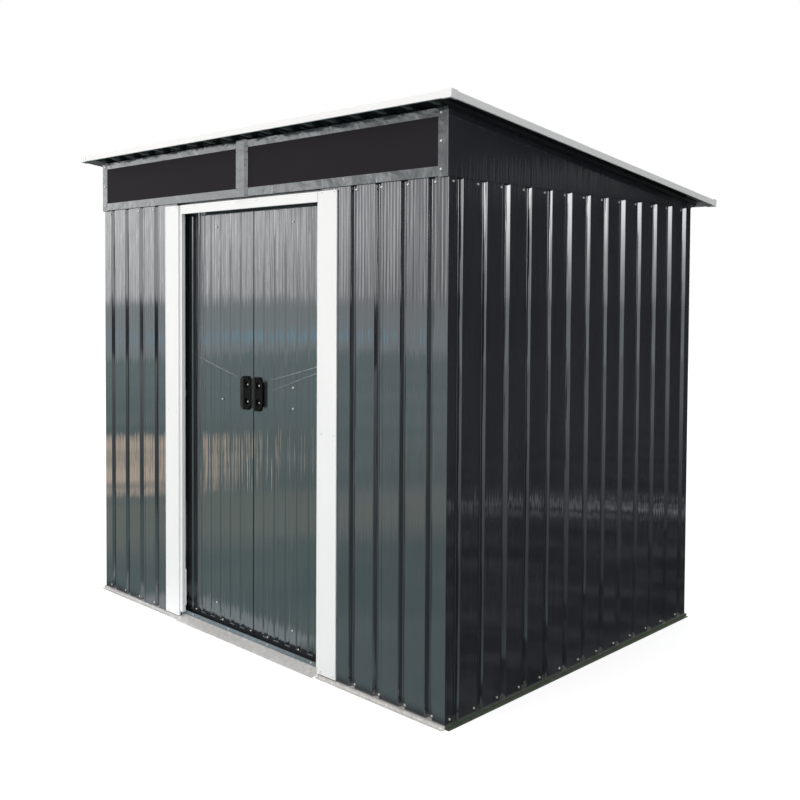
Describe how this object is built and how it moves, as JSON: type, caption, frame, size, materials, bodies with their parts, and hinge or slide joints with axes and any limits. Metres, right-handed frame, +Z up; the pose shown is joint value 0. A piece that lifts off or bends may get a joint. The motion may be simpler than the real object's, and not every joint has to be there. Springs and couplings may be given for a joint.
{
  "type": "metal storage shed",
  "caption": "Small sheet-metal garden store with a roof falling to the back, a dark window band over the front and two sliding doors that part in the middle.",
  "frame": {"origin": "on the ground, under the middle of the whole outline seen from above", "axes": "+Z up; -Y is the front, with the doors, window band and high side of the roof; +X is to the right when facing the front"},
  "size_m": [2.079, 1.5802, 1.843],
  "materials": {
    "wall_paint": "glossy anthracite coil paint on grooved sheet",
    "door_paint": "glossy anthracite paint on shallow-ribbed sheet",
    "roof_paint": "glossy anthracite paint on grooved sheet",
    "white_trim": "satin white paint on folded trim",
    "band_metal": "glossy grey paint on folded trim",
    "galvanised": "bare zinc with a fine spangle",
    "black_plastic": "moulded black plastic",
    "black_glazing": "opaque black sheet"
  },
  "bodies": {
    "shed": {"base_rail_front": "galvanised", "base_rail_back": "galvanised", "base_rail_left": "galvanised", "base_rail_right": "galvanised", "threshold_ramp": "galvanised", "door_bottom_track": "galvanised", "front_wall_left": "wall_paint", "front_wall_right": "wall_paint", "left_wall": "wall_paint", "right_wall": "wall_paint", "back_wall": "wall_paint", "mid_rail_left": "galvanised", "mid_rail_right": "galvanised", "mid_rail_back": "galvanised", "top_rail_front": "galvanised", "top_rail_left": "galvanised", "top_rail_right": "galvanised", "top_rail_back": "galvanised", "door_jamb_left": "white_trim", "door_jamb_right": "white_trim", "door_header": "white_trim", "door_top_track": "galvanised", "band_bottom_rail": "band_metal", "band_top_rail": "band_metal", "band_stile_left": "band_metal", "band_stile_right": "band_metal", "band_mullion": "band_metal", "window_panel_left": "black_glazing", "window_panel_right": "black_glazing", "gable_panel_left": "wall_paint", "gable_panel_right": "wall_paint", "roof_sheet": "roof_paint", "roof_beams": "galvanised", "fascia_front": "white_trim", "fascia_back": "white_trim", "fascia_left": "white_trim", "fascia_right": "white_trim", "roof_corner_caps": "white_trim"},
    "left_door": {"door_leaf_left": "door_paint", "door_meeting_strip": "door_paint", "door_handle_left": "black_plastic", "door_glides_left": "black_plastic"},
    "right_door": {"door_leaf_right": "door_paint", "door_handle_right": "black_plastic", "door_glides_right": "black_plastic"}
  },
  "joints": [
    {"name": "left_door_slide", "type": "slide", "parent": "shed", "child": "left_door", "axis": [-1, 0, 0], "range_m": [0, 0.314]},
    {"name": "right_door_slide", "type": "slide", "parent": "shed", "child": "right_door", "axis": [1, 0, 0], "range_m": [0, 0.314]}
  ]
}
